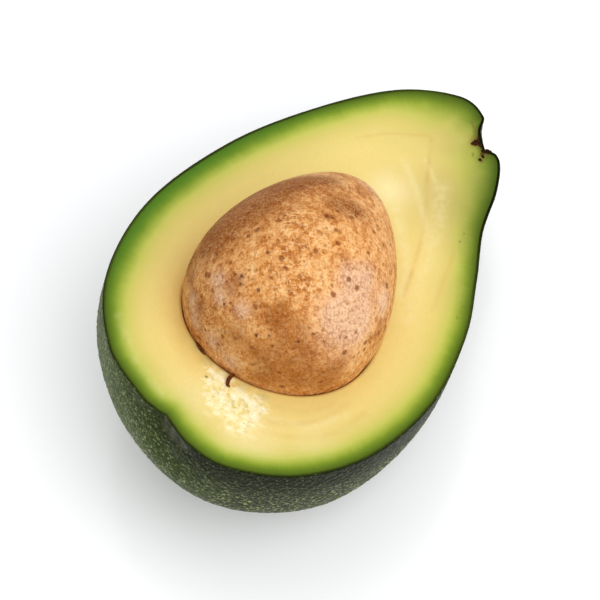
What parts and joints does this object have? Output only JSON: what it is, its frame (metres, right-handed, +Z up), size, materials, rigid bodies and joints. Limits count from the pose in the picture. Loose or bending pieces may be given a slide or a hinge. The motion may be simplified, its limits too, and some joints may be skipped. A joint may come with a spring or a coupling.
{
  "type": "half avocado with seed",
  "caption": "Pear-shaped avocado cut lengthwise, lying on its belly with the cut face up and the seed still in its hollow.",
  "frame": {"origin": "middle of the small flat spot on the belly that the half rests on", "axes": "+Z up, away from the table; +X level, toward the neck; +Y level, toward the left side as seen from above the cut face"},
  "size_m": [0.1098, 0.0709, 0.0627],
  "materials": {
    "skin": "pebbled dark green peel with fine pale specks, satin",
    "flesh": "moist cut flesh, butter yellow inside, turning to green under the peel",
    "seed": "orange-brown papery seed coat with dark specks, satin"
  },
  "bodies": {
    "root": {"skin": "skin", "flesh": "flesh", "seed": "seed"}
  },
  "joints": []
}
